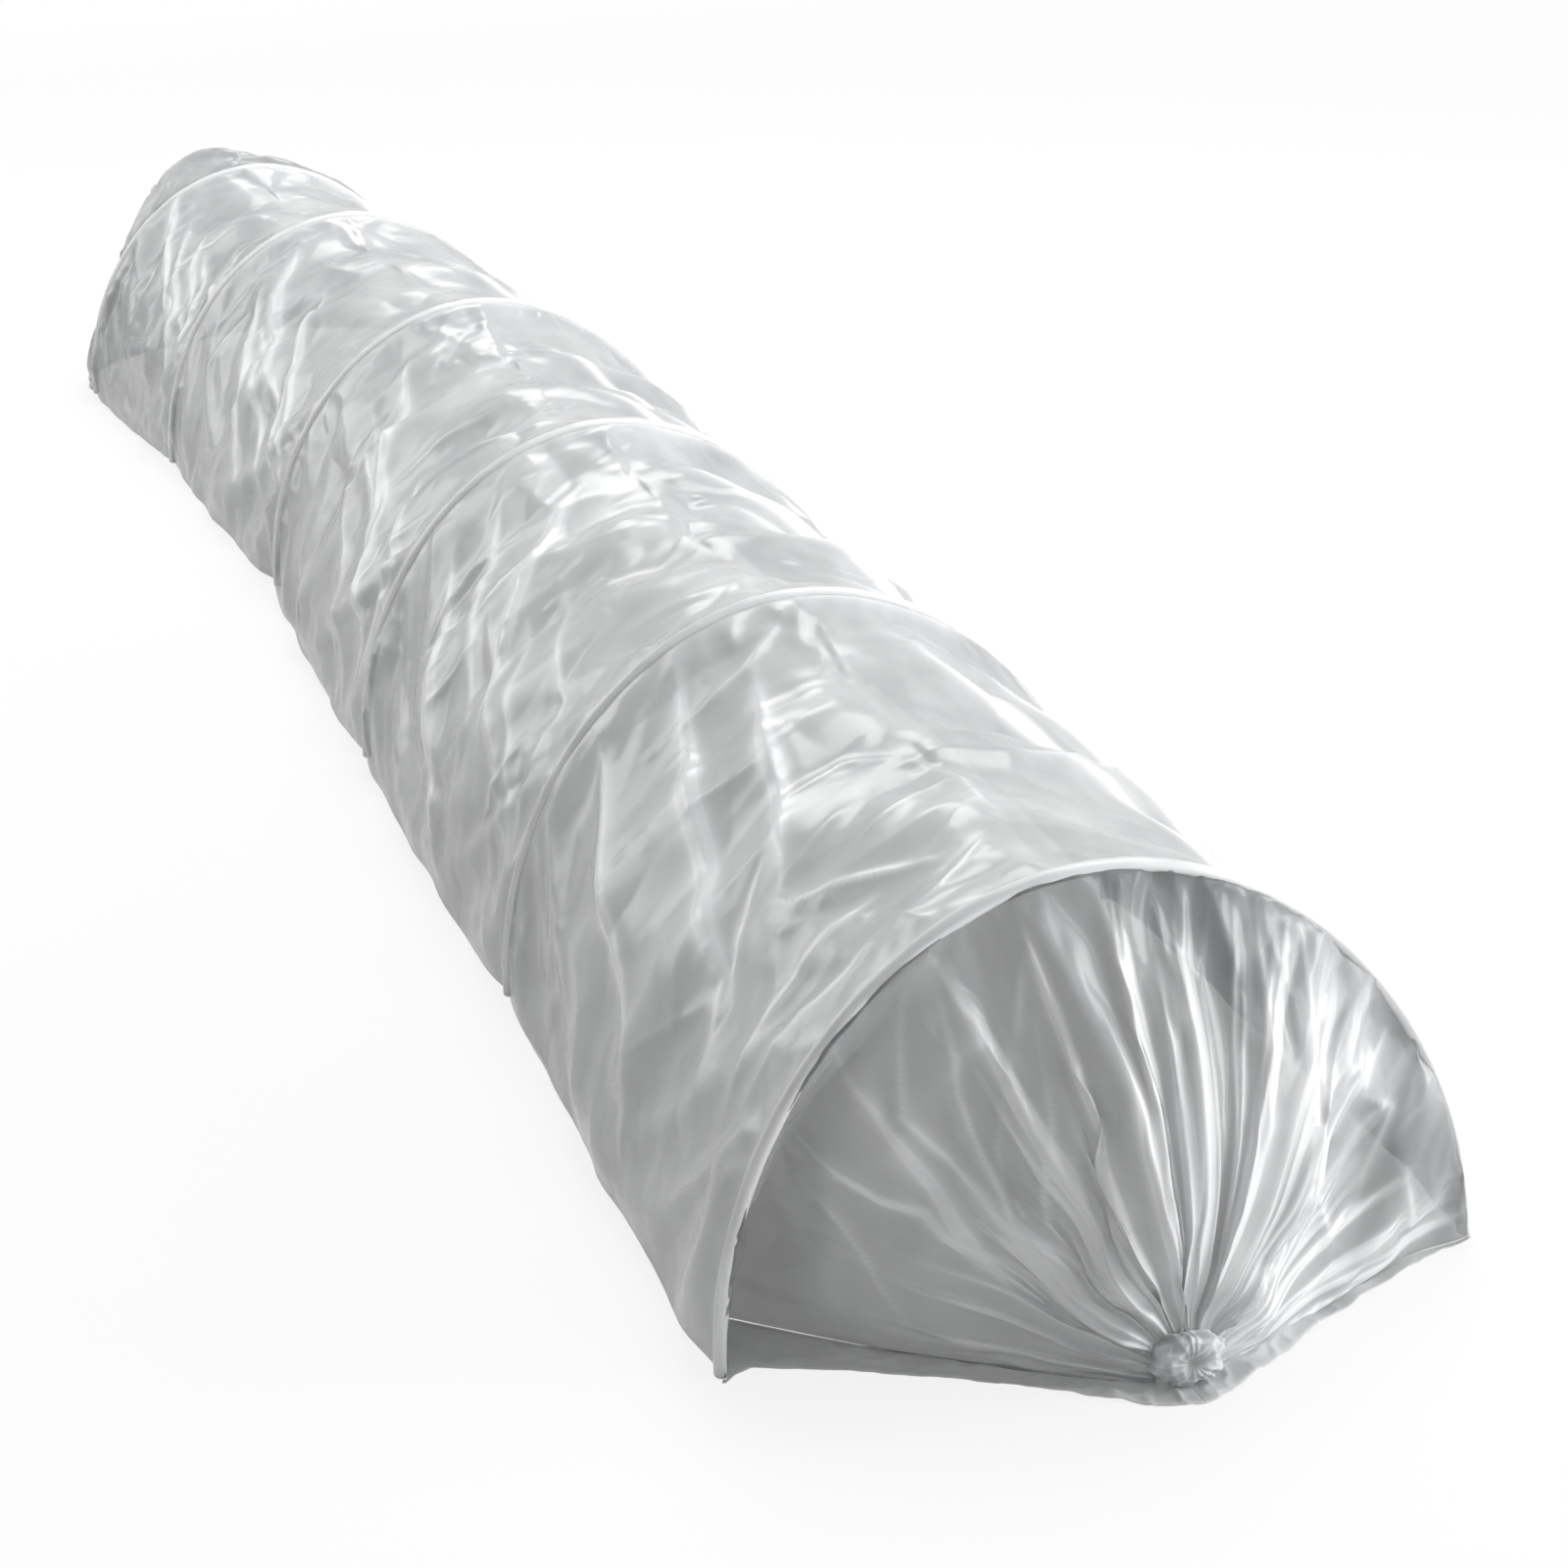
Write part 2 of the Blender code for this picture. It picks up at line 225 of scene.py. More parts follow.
# the loose film stands wider and fuller than the solid's section by these factors
SLEEVE_LAP = 1.15
SLEEVE_PUFF = 1.3
FINE_PUCKER = 0.00035
WIDE_PUCKER = 0.0011
PLAIN_FOOT = 0.02
FILM = 0.0003
FILM_GLOSS = 0.30
CLOUD_SHARE = 0.5
MILKY_AND_PAINTED_LIGHT_RAMP = (0.1, 0.96)


def film_material(name, dark, light, thin, thick, roughness):
    """Clear film: greyer and thinner at low milkiness and painted light, whiter and denser at high."""
    material = new_material(name, light, roughness)
    nodes = material.node_tree.nodes
    nodes["Principled BSDF"].inputs["Specular IOR Level"].default_value = FILM_GLOSS
    links = material.node_tree.links
    cloud = cloudy(material, scale=16, detail=2, stretch=(1, 0.6, 1))
    milky_and_painted_light = nodes.new("ShaderNodeAttribute")
    milky_and_painted_light.attribute_name = "milky_and_painted_light"
    blend = nodes.new("ShaderNodeMath")
    blend.operation = "MULTIPLY_ADD"
    blend.inputs[1].default_value = CLOUD_SHARE
    links.new(cloud, blend.inputs[0])
    links.new(milky_and_painted_light.outputs["Fac"], blend.inputs[2])
    between(material, blend.outputs["Value"], dark, light, "Base Color", *MILKY_AND_PAINTED_LIGHT_RAMP)
    between(material, blend.outputs["Value"], thin, thick, "Alpha", *MILKY_AND_PAINTED_LIGHT_RAMP)
    return material


def set_milky_and_painted_light(piece, values):
    """Writes the film's milkiness and painted light at each point of a piece."""
    layer = piece.data.attributes.new("milky_and_painted_light", "FLOAT", "POINT")
    layer.data.foreach_set("value", np.asarray(values, dtype=np.float32))


def apply_modifier(piece, name):
    """Makes the result of a modifier the piece's own mesh."""
    bpy.ops.object.select_all(action="DESELECT")
    bpy.context.view_layer.objects.active = piece
    piece.select_set(True)
    bpy.ops.object.modifier_apply(modifier=name)


def thicken(piece, offset):
    """Gives a surface the film's own thickness, all inwards at -1 and half to each side at 0."""
    wall = piece.modifiers.new("wall", "SOLIDIFY")
    wall.thickness = FILM
    wall.offset = offset
    apply_modifier(piece, "wall")


sleeve_film = film_material(
    "sleeve_film", dark=(0.74, 0.75, 0.76), light=(0.92, 0.93, 0.94), thin=0.60, thick=0.92, roughness=0.28
)
for k in HOOPS:
    sleeve = curve_piece(f"sleeve_{k}", arch_route)
    bpy.ops.curve.primitive_bezier_circle_add(radius=1)
    section = bpy.context.object
    section.data.resolution_u = 4
    section.scale = (SLEEVE_WIDTH / 2 * SLEEVE_LAP, SLEEVE_THICK * SLEEVE_PUFF, 1)
    bpy.ops.object.transform_apply(location=False, rotation=False, scale=True)
    sleeve.data.bevel_mode = "OBJECT"
    sleeve.data.bevel_object = section
    sleeve = finish_mesh(sleeve, hoop_place[k])
    bpy.data.objects.remove(section)
    # the puckers stand outwards, which leaves the wire its room, and both edges are the milkiest
    dense = []
    for vertex in sleeve.data.vertices:
        pucker = FINE_PUCKER * noise.noise(vertex.co * 90 + Vector((0, 0, 7.3 * k)))
        pucker += WIDE_PUCKER * max(noise.noise(vertex.co * 26 + Vector((0, 0, 3.1 * k))), 0.0)
        vertex.co += vertex.normal * max(pucker, 0.0) * min(1.0, vertex.co.z / PLAIN_FOOT)
        beside = abs(vertex.co.y - hoop_place[k].y) / (SLEEVE_WIDTH / 2)
        dense.append(0.25 + 0.55 * beside**2 + 0.25 * noise.noise(vertex.co * 40))
    set_milky_and_painted_light(sleeve, dense)
    thicken(sleeve, offset=-1)
    sleeve.data.materials.append(sleeve_film)
    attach(sleeve, hoop_body[k])
    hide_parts(f"hoop_sleeve_{k}")

# Bays: the cover between each two hoops, one sheet of clear film that is slack from hoop to hoop.
# It sags at the ridge, hangs in long folds on the sides and creases sharply beside the hoops.
EDGE = SLEEVE_WIDTH / 2 + 0.0003
ON_EDGE = 0.0001
RIDGE_SAG = 0.014
HEM_BULGE = 0.006
FOLD_DEPTH = 0.005
FOLDS_PER_METRE = 5.2
RIPPLE = 0.004
CELL = 0.0062
SETTLE_FRAMES = 20
BAY_SLACK = 0.03
BAY_WEIGHT = 0.5
BAY_REACH = 0.011
# beside a held edge and along the ground the film has these shares of its reach, and all of it further on
EDGE_SHARE = 0.15
EDGE_RANGE = 0.07
GROUND_SHARE = 0.4
GROUND_RANGE = 0.06
# facets of a bay, large and small: seed, length, width, the way they lie, depth
BAY_FACETS = ((10, 0.130, 0.055, 1.25, 0.0030), (30, 0.050, 0.028, 0.35, 0.0009))
RIDGE_BLEND = 0.16
# a fold this high gets the full painted highlight on its crest
FULL_CREST = 0.004

clear_film = film_material(
    "clear_film", dark=(0.13, 0.14, 0.145), light=(0.84, 0.85, 0.86), thin=0.51, thick=0.80, roughness=0.22
)


def film_grid(name, around, along, length, shape):
    """Grid of film on the surface shape(u, t). Each point's place on the flat sheet is kept as its cut."""
    bpy.ops.object.select_all(action="DESELECT")
    bpy.ops.mesh.primitive_grid_add(x_subdivisions=around, y_subdivisions=along, size=1)
    film = bpy.context.object
    film.name = name
    cut = film.data.attributes.new("cut", "FLOAT_VECTOR", "POINT")
    start = film.data.attributes.new("start", "FLOAT_VECTOR", "POINT")
    for vertex, place, origin in zip(film.data.vertices, cut.data, start.data):
        s = vertex.co.x + 0.5
        t = vertex.co.y + 0.5
        place.vector = (s * ARCH_LENGTH, t * length, 0.0)
        vertex.co = shape(even(s), t)
        origin.vector = vertex.co
    return film


def settle(film, slack, weight):
    """Lets a sheet with too much film for its span buckle and hang between its held edges."""
    cloth = film.modifiers.new("film", "CLOTH")
    settings = cloth.settings
    settings.quality = 4
    settings.mass = 0.02
    settings.tension_stiffness = 10
    settings.compression_stiffness = 10
    settings.shear_stiffness = 5
    settings.bending_stiffness = 0.03
    settings.bending_damping = 0.5
    settings.air_damping = 2
    settings.shrink_min = -slack
    settings.shrink_max = -slack
    settings.vertex_group_mass = "held"
    settings.effector_weights.gravity = weight
    cloth.collision_settings.use_collision = False
    cloth.collision_settings.use_self_collision = False
    for step in range(1, SETTLE_FRAMES + 1):
        bpy.context.scene.frame_set(step)
    apply_modifier(film, "film")
    bpy.context.scene.frame_set(1)


def settle_within(film, held, slack, weight, reach):
    """Settles a sheet, keeps it within reach of where it started, then makes its grid twice as fine."""
    group = film.vertex_groups.new(name="held")
    group.add([i for i, fixed in enumerate(held) if fixed], 1.0, "REPLACE")
    settle(film, slack, weight)
    origins = film.data.attributes["start"].data
    cuts = film.data.attributes["cut"].data
    length = max(place.vector.y for place in cuts)
    for vertex, origin, place in zip(film.data.vertices, origins, cuts):
        start = Vector(origin.vector)
        away = vertex.co - start
        from_edge = min(place.vector.y, length - place.vector.y)
        room = reach * min(1.0, EDGE_SHARE + from_edge / EDGE_RANGE)
        room *= min(1.0, GROUND_SHARE + start.z / GROUND_RANGE)
        if away.length > 0:
            vertex.co = start + away * (room * math.tanh(away.length / room) / away.length)
    soften = film.modifiers.new("soften", "SMOOTH")
    soften.factor = 0.5
    soften.iterations = 3
    soften.vertex_group = "held"
    soften.invert_vertex_group = True
    apply_modifier(film, "soften")
    finer = film.modifiers.new("finer", "SUBSURF")
    finer.levels = 1
    finer.render_levels = 1
    apply_modifier(film, "finer")


def read_points(film):
    """Places, normals and cut of all points, as arrays."""
    count = len(film.data.vertices)
    place = np.empty(3 * count, dtype=np.float32)
    film.data.vertices.foreach_get("co", place)
    normal = np.empty(3 * count, dtype=np.float32)
    film.data.vertex_normals.foreach_get("vector", normal)
    cut = np.empty(3 * count, dtype=np.float32)
    film.data.attributes["cut"].data.foreach_get("vector", cut)
    place = place.reshape(-1, 3).astype(float)
    normal = normal.reshape(-1, 3).astype(float)
    cut = cut.reshape(-1, 3)[:, :2].astype(float)
    return place, normal, cut


def push_out(film, place, normal, out):
    """Moves each point along its normal, and none into the ground."""
    place += normal * out[:, None]
    place[:, 2] = np.maximum(place[:, 2], GROUND_GAP)
    film.data.vertices.foreach_set("co", place.astype(np.float32).ravel())
    film.data.update()


def crease(cut, route, width, height):
    """A fold along a route on the sheet: a sharp crest that fades to both sides and towards both ends."""
    route = np.array(route, dtype=float)
    nearest = np.full(len(cut), np.inf)
    along = np.zeros(len(cut))
    lengths = np.hypot(*(route[1:] - route[:-1]).T)
    total = lengths.sum()
    run = 0.0
    for start, end, length in zip(route[:-1], route[1:], lengths):
        way = (end - start) / length
        part = np.clip((cut - start) @ way, 0.0, length)
        off = np.hypot(*(cut - start - part[:, None] * way).T)
        closer = off < nearest
        nearest[closer] = off[closer]
        along[closer] = (run + part[closer]) / total
        run += length
    # highest halfway, and low at both ends of the route
    fade = np.sin(np.pi * np.clip(0.06 + 0.88 * along, 0.0, 1.0)) ** 0.6
    return height * fade * np.exp(-nearest / width)


def facets(cut, seed, long, short, turn, depth):
    """Flat three-cornered facets with sharp edges between them, which lie the way that turn gives."""
    pick = np.random.default_rng(seed)
    way = np.array([[math.cos(turn), math.sin(turn)], [-math.sin(turn), math.cos(turn)]])
    spots = cut @ way.T / (long, short)
    # two slow waves in each direction bend the rows of facets, so that none is straight
    bend = pick.uniform(0, 2 * math.pi, 4)
    shift_0 = 0.26 * np.sin(1.7 * spots[:, 1] + bend[0]) + 0.14 * np.sin(3.9 * spots[:, 1] + bend[1])
    shift_1 = 0.26 * np.sin(1.5 * spots[:, 0] + bend[2]) + 0.14 * np.sin(4.3 * spots[:, 0] + bend[3])
    spots = spots + np.stack([shift_0, shift_1], 1)
    corner = np.floor(spots).astype(int)
    part = spots - corner
    corner -= corner.min(0)
    rise = depth * pick.normal(0, 1, (corner[:, 0].max() + 2, corner[:, 1].max() + 2))
    flip = pick.random(rise.shape) < 0.5
    i, j = corner.T
    # each cell is split along one diagonal or the other
    flipped = flip[i, j]
    x = np.where(flipped, 1 - part[:, 0], part[:, 0])
    y = part[:, 1]
    near_low = np.where(flipped, rise[i + 1, j], rise[i, j])
    far_low = np.where(flipped, rise[i, j], rise[i + 1, j])
    near_high = np.where(flipped, rise[i + 1, j + 1], rise[i, j + 1])
    far_high = np.where(flipped, rise[i, j + 1], rise[i + 1, j + 1])
    lower = near_low + x * (far_low - near_low) + y * (far_high - far_low)
    upper = near_low + y * (near_high - near_low) + x * (far_high - near_high)
    return np.where(x > y, lower, upper)


def bay_shape(k):
    """Surface of the bay behind hoop k, with its sag, its hem and its main folds."""
    here = hoop_place[k]
    there = hoop_place[k + 1]
    length = there.y - here.y
    folds = round(FOLDS_PER_METRE * length)
    phase = 1.7 * (k - 1)

    def shape(u, t):
        x, z = arch(u)
        nx, nz = outward(u)
        low = abs(math.cos(math.pi * u))
        middle = 4 * t * (1 - t)
        lean = 0.35 * (1 - low) * (1 if u < 0.5 else -1)
        wave = math.sin(2 * math.pi * (folds * t + lean) + phase)
        wave += 0.5 * math.sin(2 * math.pi * ((folds + 2) * t - 1.3 * lean) + 2.3 * phase + 4 * u)
        out = FOLD_DEPTH * wave * (0.3 + 2.8 * low * (1 - low)) * middle**0.5
        out += HEM_BULGE * middle * low**6 - RIDGE_SAG * middle * (1 - low) ** 0.7
        at = Vector((x, length * t, z)) * 14 + Vector((0, 0, 11.0 * k))
        out += RIPPLE * middle * noise.noise(at)
        # close to the ground the film stands out sideways only
        rise = out * nz * min(1.0, 6 * max(z - GROUND_GAP, 0.0) / HOOP_HEIGHT)
        px = here.x + x + (there.x - here.x) * t + out * nx
        return px, here.y + EDGE + (length - 2 * EDGE) * t, z + rise

    return shape


# the folds of the first bay that show most: width, height and a route from end to end on the flat sheet,
# whose points are (round the arch, along the bay)
FIRST_BAY_FOLDS = (
    (0.016, 0.0060, ((0.286, 0.570), (0.256, 0.472), (0.198, 0.260), (0.178, 0.184), (0.120, 0.130))),
    (0.014, 0.0055, ((0.322, 0.500), (0.276, 0.296), (0.242, 0.188))),
    (0.016, 0.0050, ((0.212, 0.570), (0.186, 0.492), (0.134, 0.352), (0.080, 0.220))),
    (0.009, 0.0030, ((0.222, 0.372), (0.280, 0.364))),
    (0.008, 0.0040, ((0.232, 0.190), (0.244, 0.164), (0.320, 0.112))),
    (0.008, 0.0030, ((0.270, 0.292), (0.328, 0.316), (0.356, 0.304))),
    (0.010, 0.0035, ((0.295, 0.182), (0.382, 0.226))),
    (0.007, 0.0025, ((0.242, 0.192), (0.304, 0.244))),
    (0.013, 0.0055, ((0.140, 0.082), (0.282, 0.112))),
    (0.008, 0.0025, ((0.210, 0.250), (0.252, 0.258))),
    (0.006, 0.0020, ((0.098, 0.244), (0.162, 0.180))),
    (0.012, 0.0045, ((0.150, 0.050), (0.270, 0.042))),
    (0.011, -0.0045, ((0.170, 0.170), (0.250, 0.252))),
    (0.009, 0.0035, ((0.290, 0.048), (0.360, 0.110))),
    (0.008, 0.0030, ((0.276, 0.034), (0.350, 0.050))),
    (0.009, 0.0030, ((0.366, 0.290), (0.386, 0.226), (0.374, 0.168), (0.318, 0.118))),
    (0.009, 0.0035, ((0.252, 0.484), (0.318, 0.504), (0.364, 0.552))),
)


LONG_FOLDS = 6
SHORT_FOLDS = 9
GATHERS = 26
PATCHES = 4
PATCH_WRINKLES = 7


def bay_folds(k, pitch):
    """Width, height, route and side of each fold of a bay."""
    pick = np.random.default_rng(100 + k)
    folds = []
    for left in (True, False):
        # long slanting folds from the rear hoop's shoulder and short ones across them, in place of the
        # listed folds that the first bay has on its left
        if k > 1 or not left:
            for i in range(LONG_FOLDS):
                top = pick.uniform(0.19, 0.34)
                back = pitch * pick.uniform(0.75, 1.0) - 0.05 * i
                drop = pick.uniform(0.12, 0.20)
                run = pitch * pick.uniform(0.45, 0.70)
                bend = pick.uniform(-0.02, 0.02)
                halfway = (top - drop * 0.5 + bend, back - run * 0.5)
                route = ((top, back), halfway, (top - drop, max(back - run, 0.03)))
                folds.append((pick.uniform(0.010, 0.018), pick.uniform(0.0035, 0.0065), route, left))
            for i in range(SHORT_FOLDS):
                start = pick.uniform(0.08, 0.26)
                y = pitch * pick.uniform(0.08, 0.92)
                end = (start + pick.uniform(0.05, 0.13), y + pick.uniform(-0.05, 0.05))
                height = pick.choice((-1, 1, 1)) * pick.uniform(0.002, 0.0045)
                folds.append((pick.uniform(0.006, 0.012), height, ((start, y), end), left))
        # gathers beside the hoops
        for i in range(GATHERS):
            s = pick.uniform(0.03, 0.38)
            reach = pick.uniform(0.015, 0.055)
            y = 0.0 if pick.random() < 0.5 else pitch
            end = (s + pick.uniform(-0.02, 0.02), y + (reach if y == 0 else -reach))
            folds.append((pick.uniform(0.003, 0.006), pick.uniform(0.0006, 0.0018), ((s, y), end), left))
        # small wrinkles in patches
        for patch in range(PATCHES):
            middle = (pick.uniform(0.16, 0.40), pitch * pick.uniform(0.1, 0.9))
            turn = pick.uniform(0, math.pi)
            for i in range(PATCH_WRINKLES):
                s = middle[0] + pick.normal(0, 0.018)
                y = middle[1] + pick.normal(0, 0.018)
                way = turn + pick.normal(0, 0.3)
                reach = pick.uniform(0.008, 0.022)
                route = ((s, y), (s + reach * math.cos(way), y + reach * math.sin(way)))
                folds.append((pick.uniform(0.002, 0.004), pick.uniform(0.0006, 0.0016), route, left))
    if k == 1:
        folds += [(width, height, route, True) for width, height, route in FIRST_BAY_FOLDS]
    return folds


def crease_bay(film, k, pitch):
    """Adds the folds and facets of a bay to its settled film, and marks its milkiness and painted light."""
    place, normal, cut = read_points(film)
    other = cut * (-1, 1) + (ARCH_LENGTH, 0)
    out = np.zeros(len(cut))
    crest = np.zeros(len(cut))
    for width, height, route, left in bay_folds(k, pitch):
        fold = crease(cut if left else other, route, width, height)
        out += fold
        crest = np.maximum(crest, np.abs(fold) / FULL_CREST)
    # the facets slant the other way on the right side, and the two meet gradually over the ridge
    right = np.clip((cut[:, 0] - ARCH_LENGTH / 2) / RIDGE_BLEND + 0.5, 0.0, 1.0)
    right = right**2 * (3 - 2 * right)
    for seed, long, short, turn, depth in BAY_FACETS:
        out += (1 - right) * facets(cut, seed + k, long, short, turn, depth)
        out += right * facets(other, seed + k + 50, long, short, turn, depth)
    # folds and facets run out beside the hoops and get lower along the ground
    near = np.minimum(cut[:, 1], pitch - cut[:, 1])
    out *= np.clip(near / 0.02, 0.0, 1.0) ** 0.7
    out *= np.clip(0.25 + place[:, 2] / 0.05, 0.0, 1.0)
    push_out(film, place, normal, out)
    # painted light: the film is painted whitest on its fold crests, beside the hoops and towards the ridge
    # painted highlights on the crests, painted light in the dips beside the hoops and on the lit top
    high = np.clip(place[:, 2] / HOOP_HEIGHT, 0, 1)
    set_milky_and_painted_light(film, 0.10 + 0.28 * high + 0.65 * np.clip(crest, 0, 1.1) ** 3 + 0.40 * np.exp(-near / 0.008))


def finish_film(film):
    """Smooth shading, and the film's own thickness."""
    film.data.attributes.remove(film.data.attributes["start"])
    film.data.attributes.remove(film.data.attributes["cut"])
    film.data.shade_smooth()
    thicken(film, offset=0)


for k in HOOPS[:-1]:
    pitch = hoop_place[k + 1].y - hoop_place[k].y
    around = round(ARCH_LENGTH / CELL)
    along = round(pitch / CELL)
    film = film_grid(f"bay_{k}", around, along, pitch, bay_shape(k))
    near = hoop_place[k].y + EDGE + ON_EDGE
    far = hoop_place[k + 1].y - EDGE - ON_EDGE
    held = [v.co.y < near or v.co.y > far for v in film.data.vertices]
    settle_within(film, held, BAY_SLACK, BAY_WEIGHT, BAY_REACH)
    crease_bay(film, k, pitch)
    finish_film(film)
    film.data.materials.append(clear_film)
    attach(film, hoop_body[k])
    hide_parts(f"bay_film_{k}")
    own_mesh(film)

# Gathered ends: the cover beyond the end hoops, drawn together in pleats to a small neck beside the ground.
# The pleats fan out over the whole arch, and the low sides fall in where the film is slack.
NECK_WIDTH = 0.034
NECK_HEIGHT = 0.028
PLEATS = 9
PLEAT_HEIGHT = 0.0045
FINE_PLEATS = 44
# a pleat this high gets the full painted highlight on its crest
PLEAT_CREST = 0.0028
HOOD_STANDS_OUT = 0.034
HOOD_SHOULDER = 0.62
HOOD_SPREAD = 0.12
END_AROUND = 250
END_ALONG = {"front": 44, "rear": 34}
# rows of the grid crowd towards the hoop by this power
END_CROWDING = {"front": 1.5, "rear": 1.25}
END_CUT = {"front": 0.25, "rear": 0.40}
END_SLACK = 0.04
END_WEIGHT = 0.3
END_REACH = 0.012
# facets of an end, and the smaller ones of the crumpled side, given as for a bay
END_FACETS = (3, 0.075, 0.045, 1.3, 0.0028)
CRUMPLED_FACETS = (8, 0.036, 0.022, 1.0, 0.0026)
CRUMPLED_FROM = 0.08
# the way from hoop to neck, the neck's place sideways, how far the crown bulges forward, how far the left
# and right sides fall in beside the ground, and 1 for an end that stands out like a hood
FRONT = dict(depth=0.098, neck_x=0.010, bulge=0.012, slack=(0.088, 0.016), hood=0.0)
REAR = dict(depth=0.300, neck_x=-0.020, bulge=0.0, slack=(0.020, 0.020), hood=1.0)
# name, hoop, values, and whether it is turned half round
ENDS = (("front", 1, FRONT, False), ("rear", 6, REAR, True))


def end_shape(depth, neck_x, bulge, slack, hood):
    """Surface of a gathered end that points along -Y, from its hoop to the neck."""

    def shape(u, t):
        x, z = arch(u)
        nx, nz = outward(u)
        neck_side, neck_z = arch(u, NECK_WIDTH, NECK_HEIGHT)
        low = abs(math.cos(math.pi * u))
        drawn = (1 - hood) * t + hood * t**3.5
        px = x * (1 - drawn) + (neck_x + neck_side) * drawn
        pz = z * (1 - drawn) + neck_z * drawn
        py = -EDGE - (depth - EDGE) * t
        # a side with much slack falls in close to the hoop, and one with little falls in gradually
        side = slack[0] if u < 0.5 else slack[1]
        back = min(max((t - 0.005) / (0.08 if side > 0.05 else 0.26), 0.0), 1.0)
        py += side * low**3 * back**2 * (3 - 2 * back) * max(1 - t, 0.0) ** 1.5
        py -= bulge * math.sin(math.pi * t) * (1 - low) ** 0.5
        # the hood stands out over one shoulder
        shoulder = math.exp(-(((u - HOOD_SHOULDER) / HOOD_SPREAD) ** 2))
        puff = hood * HOOD_STANDS_OUT * math.sin(math.pi * t) * shoulder
        px += puff * nx
        pz += puff * nz
        # the pleats start low at the hoop and at both feet, and end before the neck
        feet = min(1.0, 5 * min(u, 1 - u))
        pleat = PLEAT_HEIGHT * math.sin(2 * math.pi * PLEATS * u + 0.8)
        pleat = pleat * math.sin(math.pi * min(t, 0.94)) ** 0.6 * (1 - t**6)
        pleat *= feet * (1 - hood + hood * t**2)
        py -= pleat * (1 - 0.6 * hood)
        px += pleat * nx * (0.3 + 0.7 * hood)
        pz += pleat * nz * (0.3 + 0.7 * hood) * min(1.0, 20 * (pz - GROUND_GAP))
        return px, py, max(pz, GROUND_GAP)

    return shape


def placed(shape, k, turned):
    """The same surface in its place, turned half round for the rear end."""
    turn = -1.0 if turned else 1.0

    def shape_there(u, t):
        x, y, z = shape(u, t)
        return hoop_place[k].x + turn * x, hoop_place[k].y + turn * y, z

    return shape_there


# the folds of the front end that show most: width, height and a route as the front view has it, whose
# points are (x, z)
FRONT_FOLDS = (
    (0.008, 0.0070, ((-0.154, 0.189), (-0.082, 0.062), (-0.011, 0.017))),
    (0.007, 0.0060, ((-0.184, 0.143), (-0.132, 0.096), (-0.112, 0.091), (-0.056, 0.033))),
    (0.007, 0.0055, ((-0.112, 0.218), (-0.117, 0.146), (-0.073, 0.090), (-0.013, 0.045))),
    (0.006, 0.0055, ((-0.094, 0.209), (-0.089, 0.157), (-0.069, 0.087), (-0.040, 0.045))),
    (0.005, 0.0035, ((-0.062, 0.184), (-0.071, 0.127), (-0.069, 0.087))),
    (0.005, 0.0045, ((-0.045, 0.197), (-0.046, 0.158), (-0.050, 0.085), (-0.020, 0.040))),
    (0.005, 0.0050, ((-0.030, 0.184), (-0.018, 0.126), (-0.008, 0.064), (-0.002, 0.036))),
    (0.006, 0.0065, ((0.013, 0.253), (0.003, 0.187), (0.001, 0.115), (0.005, 0.042))),
    (0.006, 0.0055, ((0.052, 0.247), (0.033, 0.161), (0.016, 0.060))),
    (0.007, 0.0065, ((0.093, 0.234), (0.087, 0.183), (0.072, 0.128), (0.016, 0.036))),
    (0.007, 0.0060, ((0.118, 0.212), (0.104, 0.094), (0.081, 0.047), (0.049, 0.014))),
    (0.006, 0.0045, ((0.130, 0.166), (0.104, 0.089))),
    (0.006, 0.0050, ((0.134, 0.138), (0.155, 0.116), (0.177, 0.140))),
    (0.006, 0.0045, ((0.147, 0.113), (0.172, 0.096), (0.146, 0.056))),
    (0.006, 0.0045, ((0.106, 0.082), (0.128, 0.025))),
    (0.006, 0.0050, ((0.172, 0.064), (0.184, 0.022), (0.204, 0.029))),
    (0.006, 0.0045, ((-0.188, 0.142), (-0.166, 0.107), (-0.118, 0.012))),
    (0.004, 0.0030, ((0.067, 0.242), (0.076, 0.197))),
    (0.005, 0.0040, ((-0.044, 0.237), (-0.058, 0.183))),
)


# how much of their height is used, because the pleats add their own
FRONT_FOLD_SHARE = 0.55


